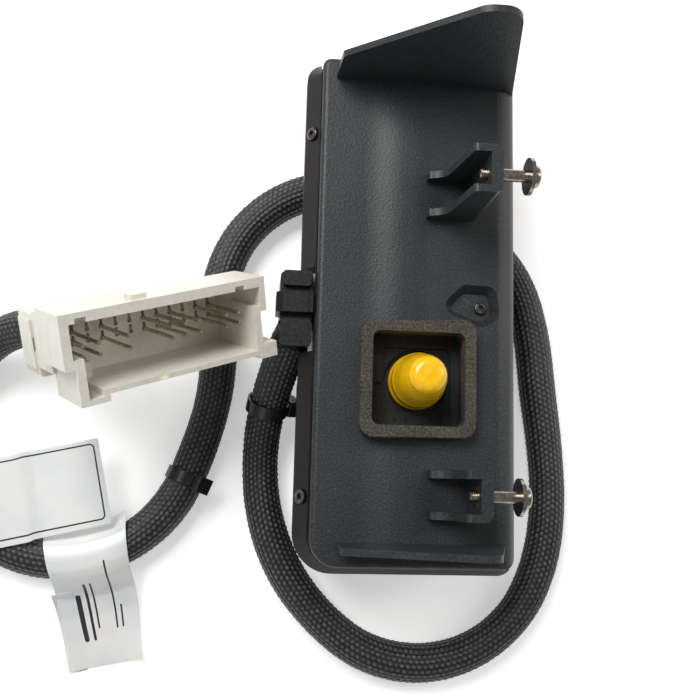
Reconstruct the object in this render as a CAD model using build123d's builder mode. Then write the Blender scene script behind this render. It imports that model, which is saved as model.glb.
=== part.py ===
from build123d import *
import math
import os

os.makedirs("parts", exist_ok=True)

# ---------------------------------------------------------------- dimensions
# Frame: unit lying on its back, +Z out of the face, +Y along its length,
# origin under the middle of its box, on the surface it lies on.

# housing
FACE_Z = 44.0            # height of the face above the back
SPLIT_Z = 34.0           # parting plane of front housing and rear cover
WALL = 2.5
FX0, FX1 = -32.6, 37.6   # face, left and right edges
FY0, FY1 = -86.4, 88.75  # face, lower and upper edges
BAND_X = -37.6           # outer edge of the sloped side flange
BAND_Y = -88.75
BAY_X0, BAY_X1 = -33.0, 35.2
STEP_Y = 11.0            # the deep electronics bay ends here
STEP_RUN = 7.0
SHALLOW_Z = 26.0         # underside of the shallow end, over the harness channel

# lens window
LENS_X, LENS_Y = 2.7, -24.3
WIN_X = 1.7
WIN_W, WIN_H = 31.8, 31.2
GASKET_T = 6.0
PANEL_Z = 38.5           # recess floor
BARREL_R = 7.0
CAP_BORE_R = 7.05
CAP_TOP_Z = 62.5

# clamp brackets: centre in y, rim height, screw height, left ends
BR_WEB_X0, BR_WEB_X1 = 19.0, 22.8
BR_OUT, BR_CHEEK = 15.8, 2.5
UP_Y, UP_RIM, UP_AXIS = 39.85, 31.5, 25.5
LO_Y, LO_RIM, LO_AXIS = -62.15, 20.5, 14.5

# clamp screws (M4)
SCREW_R = 2.0
INSERT_BORE_R = 2.05
INSERT_R = 3.1
WASHER_X = 32.3
WASHER_R, WASHER_T = 6.0, 1.2
SCREW_TIP_X = 16.6
SCREW_END_X = 36.3

# electronics
BOARD_Z, BOARD_T = 20.0, 1.6
BOARD_X0, BOARD_X1, BOARD_Y0, BOARD_Y1 = -27.0, 29.0, -80.0, 10.5
SENSOR_Z = 25.0

# harness
SLEEVE_R = 6.75
TIE_B_S = 540.2            # where the second tie sits along the sleeve
ROUTE = [
    (-40.2, -10.4, 31.7), (-46.6, -27.8, 17.8), (-49.4, -49.6, 6.75), (-47.3, -70.7, 6.75),
    (-39.7, -90.5, 6.75), (-26.4, -107.2, 6.75), (-9.3, -119.9, 6.75), (11.5, -124.0, 6.75),
    (32.0, -118.8, 6.75), (48.3, -105.4, 6.75), (57.2, -86.2, 6.75), (60.0, -64.9, 6.75),
    (58.8, -43.5, 6.75), (56.0, -22.5, 6.75), (54.1, -1.2, 6.75), (48.8, 18.8, 6.75),
    (35.7, 34.7, 6.75), (17.1, 43.7, 6.75), (-2.9, 50.8, 6.75), (-23.8, 54.0, 6.75),
    (-43.7, 48.1, 6.75), (-59.1, 34.1, 6.75), (-66.9, 14.8, 6.75), (-65.6, -6.9, 6.75),
    (-65.9, -28.2, 6.75), (-71.2, -48.8, 6.75), (-79.1, -68.9, 6.75), (-94.6, -83.4, 6.75),
    (-114.9, -89.4, 6.75), (-135.9, -85.3, 6.75), (-152.6, -71.8, 6.75), (-160.8, -52.0, 6.75),
    (-158.8, -31.3, 6.75), (-148.1, -15.0, 12.6), (-132.1, -7.5, 22.9), (-115.7, -9.6, 34.8),
]

# far-end connector: centre of its mouth and its three axes
CONN_C = (-77.3, -16.7, 61.65)
CONN_TILT_X, CONN_TILT_Y, CONN_TURN = 30.5, 23.0, 8.0
CONN_W, CONN_H, CONN_D = 69.3, 28.2, 29.0
CONN_CAV_D = 25.0
PIN_PITCH, PIN_R, PIN_L = 4.86, 0.65, 22.5
PIN_ROWS = (2.9, -0.75)
PIN_COLS = 12
PIN_USED = (0, 1, 3, 6, 7, 8, 10, 11)   # columns with pins, from the left

_sa, _ca = math.sin(math.radians(CONN_TILT_X)), math.cos(math.radians(CONN_TILT_X))
_sb, _cb = math.sin(math.radians(CONN_TILT_Y)), math.cos(math.radians(CONN_TILT_Y))
_sg, _cg = math.sin(math.radians(CONN_TURN)), math.cos(math.radians(CONN_TURN))
CONN_AX = (_sa * _cg + _ca * _sb * _sg, _sa * _sg - _ca * _sb * _cg, _ca * _cb)
CONN_WX = (_ca * _cg - _sa * _sb * _sg, _ca * _sg + _sa * _sb * _cg, -_sa * _cb)
CONN = Plane(origin=CONN_C, x_dir=CONN_WX, z_dir=CONN_AX)


def dome(r, rim, sag, top):
    # a point at radius r on a spherical cap with its centre on the axis
    ball = (rim * rim + sag * sag) / (2 * sag)
    return (r, top - ball + math.sqrt(ball * ball - r * r))


def unit(a, b):
    d = [b[i] - a[i] for i in range(3)]
    n = math.sqrt(sum(v * v for v in d))
    return tuple(v / n for v in d)


# ---------------------------------------------------------------- clamp brackets
# A U channel, open to the left: web at the right, two cheeks that slope down
# to rounded lugs on the face.
def bracket_outline(rim, lug_x, rim_x):
    return [
        (lug_x - 0.2, -1.2), (lug_x + 0.2, 3.4), (lug_x + 6.2, 5.6),
        (rim_x, rim), (BR_WEB_X1 + 2, rim), (BR_WEB_X1 + 2, -1.2),
    ]


with BuildPart() as upper_bracket:
    with BuildSketch(Plane.XY.offset(FACE_Z - 1.2)):
        with Locations((BR_WEB_X1, UP_Y)):
            RectangleRounded(60, BR_OUT, 2.8)
        with Locations((BR_WEB_X1 + 30, UP_Y)):
            Rectangle(60, BR_OUT + 2, mode=Mode.SUBTRACT)
    extrude(amount=UP_RIM + 1.2)
    fillet(upper_bracket.edges().filter_by(Axis.Z).group_by(Axis.X)[-1], 2.6)
    with BuildSketch(Plane.XY.offset(FACE_Z - 1.2)):
        with Locations((BR_WEB_X0 - 25, UP_Y)):
            Rectangle(50, BR_OUT - 2 * BR_CHEEK)
    extrude(amount=UP_RIM + 1.2, mode=Mode.SUBTRACT)
    with BuildSketch(Plane((0, UP_Y, FACE_Z), x_dir=(1, 0, 0), z_dir=(0, -1, 0))) as cheek:
        with BuildLine():
            Polyline(*bracket_outline(UP_RIM, 4.4, 13.7), close=True)
        make_face()
        fillet(cheek.vertices().filter_by(lambda v: abs(v.X - 4.4 - 6.2) < 0.1), 7.0)
        fillet(cheek.vertices().filter_by(lambda v: abs(v.X - 4.4 - 0.2) < 0.1 and v.Y > 0), 1.5)
        fillet(cheek.vertices().filter_by(lambda v: abs(v.X - 13.7) < 0.1 and v.Y > 12), 1.5)
    extrude(amount=12, both=True, mode=Mode.INTERSECT)

with BuildPart() as lower_bracket:
    with BuildSketch(Plane.XY.offset(FACE_Z - 1.2)):
        with Locations((BR_WEB_X1, LO_Y)):
            RectangleRounded(60, BR_OUT, 2.8)
        with Locations((BR_WEB_X1 + 30, LO_Y)):
            Rectangle(60, BR_OUT + 2, mode=Mode.SUBTRACT)
    extrude(amount=LO_RIM + 1.2)
    fillet(lower_bracket.edges().filter_by(Axis.Z).group_by(Axis.X)[-1], 2.6)
    with BuildSketch(Plane.XY.offset(FACE_Z - 1.2)):
        with Locations((BR_WEB_X0 - 25, LO_Y)):
            Rectangle(50, BR_OUT - 2 * BR_CHEEK)
    extrude(amount=LO_RIM + 1.2, mode=Mode.SUBTRACT)
    with BuildSketch(Plane((0, LO_Y, FACE_Z), x_dir=(1, 0, 0), z_dir=(0, -1, 0))) as cheek:
        with BuildLine():
            Polyline(*bracket_outline(LO_RIM, 6.1, 14.8), close=True)
        make_face()
        fillet(cheek.vertices().filter_by(lambda v: abs(v.X - 6.1 - 6.2) < 0.1), 7.0)
        fillet(cheek.vertices().filter_by(lambda v: abs(v.X - 6.1 - 0.2) < 0.1 and v.Y > 0), 1.5)
        fillet(cheek.vertices().filter_by(lambda v: abs(v.X - 14.8) < 0.1 and v.Y > 12), 1.5)
    extrude(amount=12, both=True, mode=Mode.INTERSECT)

# glare hood across the upper end: low at the left, tall and rounded at the right
HOOD_PLANE = Plane((0, 81.05, FACE_Z), x_dir=(1, 0, 0), z_dir=(0, -1, 0.05))
with BuildPart() as hood:
    with BuildSketch(HOOD_PLANE) as hood_profile:
        with BuildLine():
            Polyline((-28.2, -5.0), (-26.9, 14.2), (13.6, 47.0), (24.9, 47.4), (36.6, -5.0), close=True)
        make_face()
        fillet(hood_profile.vertices().filter_by(lambda v: v.X > 24.0 and v.Y > 40), 7.0)
        fillet(hood_profile.vertices().filter_by(lambda v: abs(v.X - 13.6) < 0.2 and v.Y > 40), 8.0)
        fillet(hood_profile.vertices().filter_by(lambda v: v.X < -26.0 and v.Y > 8), 1.5)
    extrude(amount=-2.3)

# lower rib, the same shape but lower
RIB_PLANE = Plane((0, -78.1, FACE_Z), x_dir=(1, 0, 0), z_dir=(0, -1, -0.05))
with BuildPart() as rib:
    with BuildSketch(RIB_PLANE) as rib_profile:
        with BuildLine():
            Polyline((-24.2, -5.0), (-23.2, 14.0), (23.8, 27.2), (33.8, -5.0), close=True)
        make_face()
        fillet(rib_profile.vertices().sort_by(Axis.Y)[-1], 5.0)
    extrude(amount=2.3)

# ---------------------------------------------------------------- front housing
with BuildPart() as front_housing:
    with BuildSketch(Plane.XY.offset(SPLIT_Z)) as face_plan:
        with BuildLine():
            Polyline((FX0, FY0), (FX1, FY0), (FX1, FY1), (FX0, FY1), close=True)
        make_face()
        fillet(face_plan.vertices().filter_by(lambda v: v.X < 0 and v.Y < 0), 9.5)
        fillet(face_plan.vertices().filter_by(lambda v: v.X > 0), 6.0)
        fillet(face_plan.vertices().filter_by(lambda v: v.X < 0 and v.Y > 80), 3.0)
    extrude(amount=FACE_Z - SPLIT_Z)
    # rounded right, lower and upper borders of the face, small radius at the left
    fillet(front_housing.faces().sort_by(Axis.Z)[-1].edges(), 2.0)
    with BuildSketch(Plane.XZ.offset(-100)):
        with BuildLine():
            border_a = Line((FX1 + 3, SPLIT_Z + 2.0), (FX1, SPLIT_Z + 2.0))
            border_b = RadiusArc((FX1, SPLIT_Z + 2.0), (FX1 - 8.0, FACE_Z + 0.0), -8.6)
            border_c = Polyline((FX1 - 8.0, FACE_Z), (FX1 - 8.0, FACE_Z + 4), (FX1 + 3, FACE_Z + 4), (FX1 + 3, SPLIT_Z + 2.0))
        make_face()
    extrude(amount=200, mode=Mode.SUBTRACT)
    add(upper_bracket.part)
    add(lower_bracket.part)
    add(hood.part)
    add(rib.part)
    # cavity
    with BuildSketch(Plane.XY.offset(SPLIT_Z)) as cavity_plan:
        with Locations(((FX0 + FX1) / 2, (FY0 + FY1) / 2)):
            RectangleRounded(FX1 - FX0 - 2 * WALL, FY1 - FY0 - 2 * WALL, 5.0)
    extrude(amount=4.6, mode=Mode.SUBTRACT)
    with BuildSketch(Plane.XY.offset(SPLIT_Z + 4.0)) as upper_cavity:
        with Locations(((FX0 + FX1) / 2 - 3.0, (FY0 + FY1) / 2)):
            RectangleRounded(FX1 - FX0 - 2 * WALL - 8.0, FY1 - FY0 - 2 * WALL - 6.0, 5.0)
    extrude(amount=FACE_Z - WALL - SPLIT_Z - 4.0, mode=Mode.SUBTRACT)
    # collar round the lens window, down to the recess panel
    with BuildSketch(Plane.XY.offset(PANEL_Z)):
        with Locations((WIN_X, LENS_Y)):
            RectangleRounded(WIN_W + 4.0, WIN_H + 4.0, 4.0)
    extrude(amount=FACE_Z - 1.0 - PANEL_Z)
    # block under the screw pocket
    with BuildSketch(Plane.XY.offset(SPLIT_Z)):
        with Locations((21.0, 2.5)):
            RectangleRounded(22.0, 15.0, 3.0)
    extrude(amount=FACE_Z - 1.0 - SPLIT_Z)
    with BuildSketch(Plane.XY.offset(FACE_Z + 1.0)):
        with Locations((WIN_X, LENS_Y)):
            RectangleRounded(WIN_W - 0.4, WIN_H - 0.4, 3.0)
    extrude(amount=-(FACE_Z - PANEL_Z + 1.6), mode=Mode.SUBTRACT)
    # screw pocket: rounded triangle with sloping sides
    with BuildSketch(Plane.XY.offset(FACE_Z)) as pocket:
        with BuildLine():
            Polyline((8.8, 0.4), (17.6, 9.4), (29.2, 9.0), (30.8, -1.8), (24.6, -5.8), close=True)
        make_face()
        fillet(pocket.vertices(), 3.8)
    extrude(amount=-3.6, taper=35, mode=Mode.SUBTRACT)
    with Locations(Plane.XY.offset(FACE_Z - 3.6)):
        with Locations((24.4, 1.7)):
            Hole(1.25, depth=6.0)
    # screw inserts in the two webs
    with Locations(Plane((BR_WEB_X1, UP_Y, FACE_Z + UP_AXIS), x_dir=(0, 1, 0), z_dir=(1, 0, 0))):
        Hole(INSERT_R, depth=BR_WEB_X1 - BR_WEB_X0 + 0.5)
    with Locations(Plane((BR_WEB_X1, LO_Y, FACE_Z + LO_AXIS), x_dir=(0, 1, 0), z_dir=(1, 0, 0))):
        Hole(INSERT_R, depth=BR_WEB_X1 - BR_WEB_X0 + 0.5)
    # blind holes for the side cover screws
    for sy in (61.6, -63.8):
        with Locations(Plane((-34.85, sy, 38.9), x_dir=(0, 1, 0), z_dir=(-0.758, 0, 0.652))):
            Hole(1.25, depth=7.5)

# bosses that the side cover screws bite into are part of the wall thickness
front_housing.part.label = "front_housing"
export_step(front_housing.part, "parts/front_housing.step")

# ---------------------------------------------------------------- rear cover
BAY_PROFILE = [
    (FY0, 0), (STEP_Y, 0), (STEP_Y + STEP_RUN, SHALLOW_Z), (FY1 - 0.4, SHALLOW_Z),
    (FY1 - 0.4, SPLIT_Z), (FY0, SPLIT_Z),
]
BAY_INNER = [
    (FY0 + WALL, WALL), (STEP_Y - 2.2, WALL), (STEP_Y + STEP_RUN - 2.2, SHALLOW_Z + WALL),
    (FY1 - 0.4 - WALL, SHALLOW_Z + WALL), (FY1 - 0.4 - WALL, SPLIT_Z + 1), (FY0 + WALL, SPLIT_Z + 1),
]
BOARD_SCREWS = [(-23.0, -75.0), (25.0, -75.0), (-12.0, 4.0), (25.0, 4.0)]
with BuildPart() as rear_cover:
    with BuildSketch(Plane.YZ.offset(BAY_X0)):
        with BuildLine():
            Polyline(*BAY_PROFILE, close=True)
        make_face()
    extrude(amount=BAY_X1 - BAY_X0)
    fillet(rear_cover.edges().filter_by(Axis.Z), 5.0)
    fillet(rear_cover.faces().filter_by(Axis.Z).sort_by(Axis.Z)[0].edges(), 1.5)
    # sloped flange up the left side and round the lower end
    with BuildSketch(Plane.XY.offset(31.0)) as band_plan:
        with BuildLine():
            Polyline((BAND_X, BAND_Y), (FX1, BAND_Y), (FX1, FY1), (BAND_X, FY1), close=True)
        make_face()
        fillet(band_plan.vertices().filter_by(lambda v: v.X < 0 and v.Y < 0), 13.0)
        fillet(band_plan.vertices().filter_by(lambda v: v.X > 0), 6.0)
        fillet(band_plan.vertices().filter_by(lambda v: v.X < 0 and v.Y > 80), 6.0)
    extrude(amount=5.5)
    with BuildSketch(Plane.XY.offset(36.5)) as slope_plan:
        with BuildLine():
            Polyline((BAND_X, BAND_Y), (FX1, BAND_Y), (FX1, FY1), (BAND_X, FY1), close=True)
        make_face()
        fillet(slope_plan.vertices().filter_by(lambda v: v.X < 0 and v.Y < 0), 13.0)
        fillet(slope_plan.vertices().filter_by(lambda v: v.X > 0), 6.0)
        fillet(slope_plan.vertices().filter_by(lambda v: v.X < 0 and v.Y > 80), 6.0)
    extrude(amount=5.0, taper=40.7)
    # room for the front housing above the parting plane
    with BuildSketch(Plane.XY.offset(SPLIT_Z)) as seat_plan:
        with BuildLine():
            Polyline((FX0 - 0.2, FY0 - 0.2), (FX1 + 2.0, FY0 - 0.2), (FX1 + 2.0, FY1 + 2.0), (FX0 - 0.2, FY1 + 2.0), close=True)
        make_face()
        fillet(seat_plan.vertices().filter_by(lambda v: v.X < 0 and v.Y < 0), 9.6)
        fillet(seat_plan.vertices().filter_by(lambda v: v.X < 0 and v.Y > 80), 3.0)
    extrude(amount=12.0, mode=Mode.SUBTRACT)
    # inside of the bay
    with BuildSketch(Plane.YZ.offset(BAY_X0 + WALL)):
        with BuildLine():
            Polyline(*BAY_INNER, close=True)
        make_face()
    extrude(amount=BAY_X1 - BAY_X0 - 2 * WALL, mode=Mode.SUBTRACT)
    # notch in the flange for the harness plug, and the plug's opening
    with BuildSketch(Plane.XY.offset(20.0)):
        with Locations((-43.0, -1.0)):
            Rectangle(20.0, 29.0)
    extrude(amount=30.0, mode=Mode.SUBTRACT)
    # relief under the flange beside the harness
    with BuildSketch(Plane.XY.offset(20.0)):
        with Locations((-43.0, -20.5)):
            Rectangle(20.0, 11.0)
    extrude(amount=14.2, mode=Mode.SUBTRACT)
    with BuildSketch(Plane.YZ.offset(BAY_X0 - 1)):
        with Locations((0, 27.3)):
            Rectangle(11.0, 6.6)
    extrude(amount=6.0, mode=Mode.SUBTRACT)
    # board bosses on the floor
    with BuildSketch(Plane.XY.offset(1.0)):
        with Locations(*BOARD_SCREWS):
            Circle(3.4)
    extrude(amount=BOARD_Z - 1.0)
    with Locations(Plane.XY.offset(BOARD_Z)):
        with Locations(*BOARD_SCREWS):
            Hole(1.2, depth=9.0)
    # screw holes through the flange
    for sy in (61.6, -63.8):
        with Locations(Plane((-34.85, sy, 38.9), x_dir=(0, 1, 0), z_dir=(-0.758, 0, 0.652))):
            Hole(1.5, depth=8.0)
        with Locations(Plane((-34.85, sy, 38.9), x_dir=(0, 1, 0), z_dir=(-0.758, 0, 0.652)).offset(3)):
            Hole(2.6, depth=3.0)
    # vent bore in the lower end wall
    with Locations(Plane((0, FY0, 17.0), x_dir=(1, 0, 0), z_dir=(0, -1, 0))):
        Hole(3.0, depth=4.0)
rear_cover.part.label = "rear_cover"
export_step(rear_cover.part, "parts/rear_cover.step")

# seal between the two shells, lying inside the rim
with BuildPart() as perimeter_seal:
    with BuildSketch(Plane.XY.offset(SPLIT_Z)) as seal_plan:
        with Locations(((BAY_X0 + BAY_X1) / 2, (FY0 + FY1 - 0.4) / 2)):
            RectangleRounded(BAY_X1 - BAY_X0 - 5.2, FY1 - FY0 - 5.8, 4.4)
            RectangleRounded(BAY_X1 - BAY_X0 - 7.8, FY1 - FY0 - 8.4, 3.4, mode=Mode.SUBTRACT)
    extrude(amount=-1.6)
perimeter_seal.part.label = "perimeter_seal"
export_step(perimeter_seal.part, "parts/perimeter_seal.step")

# Torx pan screws in the sloped flange
with BuildPart() as side_cover_screws:
    for sy in (61.6, -63.8):
        seat = Plane((-34.85, sy, 38.9), x_dir=(0, 1, 0), z_dir=(-0.758, 0, 0.652))
        with BuildSketch(seat):
            Circle(1.2)
        extrude(amount=-5.5)
        with BuildSketch(seat):
            Circle(2.35)
        extrude(amount=1.5)
    fillet(side_cover_screws.edges().filter_by(GeomType.CIRCLE).filter_by(lambda e: abs(e.radius - 2.35) < 0.01).sort_by(Axis.Z)[-1], 0.6)
    for sy in (61.6, -63.8):
        seat = Plane((-34.85, sy, 38.9), x_dir=(0, 1, 0), z_dir=(-0.758, 0, 0.652))
        with BuildSketch(seat.offset(1.5)):
            RegularPolygon(1.15, 6)
        extrude(amount=-1.0, mode=Mode.SUBTRACT)
side_cover_screws.part.label = "side_cover_screws"
export_step(side_cover_screws.part, "parts/side_cover_screws.step")

with BuildPart() as pocket_screw:
    with BuildSketch(Plane.XY.offset(FACE_Z - 3.6)):
        with Locations((24.4, 1.7)):
            Circle(1.2)
    extrude(amount=-5.5)
    with BuildSketch(Plane.XY.offset(FACE_Z - 3.6)):
        with Locations((24.4, 1.7)):
            Circle(2.05)
    extrude(amount=1.5)
    fillet(pocket_screw.faces().sort_by(Axis.Z)[-1].edges(), 0.5)
    with BuildSketch(Plane.XY.offset(FACE_Z - 2.1)):
        with Locations((24.4, 1.7)):
            RegularPolygon(1.05, 6)
    extrude(amount=-1.0, mode=Mode.SUBTRACT)
pocket_screw.part.label = "pocket_screw"
export_step(pocket_screw.part, "parts/pocket_screw.step")

with BuildPart() as pressure_vent:
    with BuildSketch(Plane((0, FY0, 17.0), x_dir=(1, 0, 0), z_dir=(0, -1, 0))):
        Circle(2.95)
    extrude(amount=-2.6)
    with BuildSketch(Plane((0, FY0, 17.0), x_dir=(1, 0, 0), z_dir=(0, -1, 0))):
        Circle(4.6)
    extrude(amount=1.2)
    fillet(pressure_vent.faces().sort_by(Axis.Y)[0].edges(), 0.4)
pressure_vent.part.label = "pressure_vent"
export_step(pressure_vent.part, "parts/pressure_vent.step")

# ---------------------------------------------------------------- lens window
with BuildPart() as glass_gasket:
    with BuildSketch(Plane.XY.offset(FACE_Z)) as gasket_plan:
        with BuildLine():
            Polyline((WIN_X - 19.4, LENS_Y + 18.4), (WIN_X + 19.4, LENS_Y + 20.6), (WIN_X + 19.4, LENS_Y - 19.3),
                     (WIN_X - 19.4, LENS_Y - 19.9), close=True)
        make_face()
        fillet(gasket_plan.vertices(), 4.8)
        with Locations((WIN_X, LENS_Y)):
            RectangleRounded(WIN_W - 0.8, WIN_H, 2.6, mode=Mode.SUBTRACT)
    extrude(amount=GASKET_T)
    fillet(glass_gasket.faces().sort_by(Axis.Z)[-1].outer_wire().edges(), 0.6)
glass_gasket.part.label = "glass_gasket"
export_step(glass_gasket.part, "parts/glass_gasket.step")

with BuildPart() as lens_shroud:
    with BuildSketch(Plane.XY.offset(PANEL_Z)):
        with Locations((WIN_X, LENS_Y)):
            RectangleRounded(WIN_W + 3.0, WIN_H + 3.0, 3.0)
    extrude(amount=-2.4)
    # square recess with notches round the lens ring
    with BuildSketch(Plane.XY.offset(PANEL_Z)):
        with Locations((LENS_X, LENS_Y)):
            RectangleRounded(23.8, 23.4, 2.2)
        with Locations((LENS_X - 12.6, LENS_Y - 3.0)):
            Rectangle(3.4, 5.0)
        with Locations((LENS_X - 5.0, LENS_Y - 12.4), (LENS_X + 7.0, LENS_Y - 12.4)):
            Rectangle(4.6, 3.0)
    extrude(amount=-1.2, mode=Mode.SUBTRACT)
    with BuildSketch(Plane.XY.offset(PANEL_Z + 2)):
        with Locations((LENS_X, LENS_Y)):
            Circle(11.2)
    extrude(amount=-6.0, mode=Mode.SUBTRACT)
lens_shroud.part.label = "lens_shroud"
export_step(lens_shroud.part, "parts/lens_shroud.step")

with BuildPart() as lens_holder:
    with BuildSketch(Plane.XY.offset(SENSOR_Z + 1.2)):
        with Locations((LENS_X, LENS_Y)):
            RectangleRounded(24.0, 24.0, 2.0)
    extrude(amount=9.0)
    with BuildSketch(Plane.XY.offset(SENSOR_Z + 1.2)):
        with Locations((LENS_X, LENS_Y)):
            Circle(BARREL_R)
    extrude(amount=9.0, mode=Mode.SUBTRACT)
    with BuildSketch(Plane.XY.offset(SENSOR_Z + 1.2)):
        with Locations((LENS_X, LENS_Y)):
            Rectangle(16.0, 16.0)
    extrude(amount=3.0, mode=Mode.SUBTRACT)
lens_holder.part.label = "lens_holder"
export_step(lens_holder.part, "parts/lens_holder.step")

with BuildPart() as lens_barrel:
    with BuildSketch(Plane((LENS_X, LENS_Y, 0), x_dir=(1, 0, 0), z_dir=(0, -1, 0))):
        with BuildLine():
            Polyline((3.0, 30.0), (BARREL_R, 30.0), (BARREL_R, 52.0), (6.4, 52.6), (5.6, 52.6), (5.6, 47.0),
                     (4.6, 47.0), (4.6, 34.0), (3.0, 34.0), close=True)
        make_face()
    revolve(axis=Axis((LENS_X, LENS_Y, 0), (0, 0, 1)))
lens_barrel.part.label = "lens_barrel"
export_step(lens_barrel.part, "parts/lens_barrel.step")

with BuildPart() as lens_front_element:
    with BuildSketch(Plane((LENS_X, LENS_Y, 0), x_dir=(1, 0, 0), z_dir=(0, -1, 0))):
        with BuildLine():
            Line((0, 47.3), (5.5, 47.3))
            Line((5.5, 47.3), (5.5, 49.0))
            ThreePointArc((5.5, 49.0), dome(3.0, 5.5, 1.9, 50.9), (0, 50.9))
            Line((0, 50.9), (0, 47.3))
        make_face()
    revolve(axis=Axis((LENS_X, LENS_Y, 0), (0, 0, 1)))
lens_front_element.part.label = "lens_front_element"
export_step(lens_front_element.part, "parts/lens_front_element.step")

with BuildPart() as lens_rear_element:
    with BuildSketch(Plane((LENS_X, LENS_Y, 0), x_dir=(1, 0, 0), z_dir=(0, -1, 0))):
        with BuildLine():
            Line((0, 35.4), (4.5, 35.4))
            Line((4.5, 35.4), (4.5, 38.0))
            ThreePointArc((4.5, 38.0), dome(2.4, 4.5, 1.4, 39.4), (0, 39.4))
            Line((0, 39.4), (0, 35.4))
        make_face()
    revolve(axis=Axis((LENS_X, LENS_Y, 0), (0, 0, 1)))
lens_rear_element.part.label = "lens_rear_element"
export_step(lens_rear_element.part, "parts/lens_rear_element.step")

with BuildPart() as lens_retaining_ring:
    with BuildSketch(Plane.XY.offset(51.0)):
        with Locations((LENS_X, LENS_Y)):
            Circle(5.55)
            Circle(4.3, mode=Mode.SUBTRACT)
    extrude(amount=1.4)
lens_retaining_ring.part.label = "lens_retaining_ring"
export_step(lens_retaining_ring.part, "parts/lens_retaining_ring.step")

# protective cap: stepped foot, tapered body, domed end, bored to slip on the barrel
with BuildPart() as lens_cap:
    with BuildSketch(Plane((LENS_X, LENS_Y, 0), x_dir=(1, 0, 0), z_dir=(0, -1, 0))):
        with BuildLine():
            Polyline((CAP_BORE_R, 37.4), (9.6, 37.4), (9.6, 39.6), (9.2, 40.4), (9.2, 45.2), (8.9, 46.0), (8.3, 49.6),
                     (7.7, 53.4), (6.9, 57.0), (6.3, 59.2))
            ThreePointArc((6.3, 59.2), (5.2, 61.3), (3.2, 62.2))
            Polyline((3.2, 62.2), (0, CAP_TOP_Z), (0, 54.0), (CAP_BORE_R - 1.4, 54.0), (CAP_BORE_R, 52.8), (CAP_BORE_R, 37.4))
        make_face()
    revolve(axis=Axis((LENS_X, LENS_Y, 0), (0, 0, 1)))
lens_cap.part.label = "lens_cap"
export_step(lens_cap.part, "parts/lens_cap.step")

# ---------------------------------------------------------------- electronics
with BuildPart() as sensor_board:
    with BuildSketch(Plane.XY.offset(SENSOR_Z)):
        with Locations((LENS_X, LENS_Y)):
            RectangleRounded(26.0, 26.0, 1.5)
    extrude(amount=1.2)
sensor_board.part.label = "sensor_board"
export_step(sensor_board.part, "parts/sensor_board.step")

with BuildPart() as image_sensor:
    with BuildSketch(Plane.XY.offset(SENSOR_Z + 1.2)):
        with Locations((LENS_X, LENS_Y)):
            RectangleRounded(9.0, 8.0, 0.4)
    extrude(amount=1.3)
image_sensor.part.label = "image_sensor"
export_step(image_sensor.part, "parts/image_sensor.step")

with BuildPart() as main_board:
    with BuildSketch(Plane.XY.offset(BOARD_Z)) as board_plan:
        with Locations(((BOARD_X0 + BOARD_X1) / 2, (BOARD_Y0 + BOARD_Y1) / 2)):
            RectangleRounded(BOARD_X1 - BOARD_X0, BOARD_Y1 - BOARD_Y0, 3.0)
        with Locations(*BOARD_SCREWS):
            Circle(1.5, mode=Mode.SUBTRACT)
    extrude(amount=BOARD_T)
main_board.part.label = "main_board"
export_step(main_board.part, "parts/main_board.step")

# spacer posts and link between the two boards
with BuildPart() as sensor_flex:
    with BuildSketch(Plane.XY.offset(BOARD_Z + BOARD_T)):
        with Locations((LENS_X, LENS_Y + 9.0)):
            Rectangle(16.0, 5.0)
    extrude(amount=SENSOR_Z - BOARD_Z - BOARD_T)
sensor_flex.part.label = "sensor_flex"
export_step(sensor_flex.part, "parts/sensor_flex.step")

with BuildPart() as processor_chip:
    with BuildSketch(Plane.XY.offset(BOARD_Z)):
        with Locations((2.0, -52.0)):
            RectangleRounded(19.0, 19.0, 0.6)
    extrude(amount=-1.4)
processor_chip.part.label = "processor_chip"
export_step(processor_chip.part, "parts/processor_chip.step")

with BuildPart() as thermal_pad:
    with BuildSketch(Plane.XY.offset(BOARD_Z - 1.4)):
        with Locations((2.0, -52.0)):
            Rectangle(18.0, 18.0)
    extrude(amount=-1.0)
thermal_pad.part.label = "thermal_pad"
export_step(thermal_pad.part, "parts/thermal_pad.step")

with BuildPart() as heat_spreader:
    with BuildSketch(Plane.XY.offset(BOARD_Z - 2.4)):
        with Locations((2.0, -52.0)):
            RectangleRounded(34.0, 32.0, 2.0)
    extrude(amount=-3.0)
    with BuildSketch(Plane.XY.offset(BOARD_Z - 5.4)):
        with Locations((2.0, -52.0)):
            with GridLocations(6.0, 0, 6, 1):
                Rectangle(2.0, 32.0)
    extrude(amount=-(BOARD_Z - 5.4 - WALL))
heat_spreader.part.label = "heat_spreader"
export_step(heat_spreader.part, "parts/heat_spreader.step")

with BuildPart() as memory_chips:
    with BuildSketch(Plane.XY.offset(BOARD_Z + BOARD_T)):
        with Locations((-14.0, -58.0), (-14.0, -44.0)):
            RectangleRounded(11.0, 8.0, 0.4)
    extrude(amount=1.1)
memory_chips.part.label = "memory_chips"
export_step(memory_chips.part, "parts/memory_chips.step")

with BuildPart() as capacitors:
    with BuildSketch(Plane.XY.offset(BOARD_Z + BOARD_T)):
        with Locations((12.0, -66.0), (20.0, -62.0), (20.0, -52.0), (-16.0, -70.0)):
            Circle(3.1)
    extrude(amount=7.5)
capacitors.part.label = "capacitors"
export_step(capacitors.part, "parts/capacitors.step")

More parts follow.
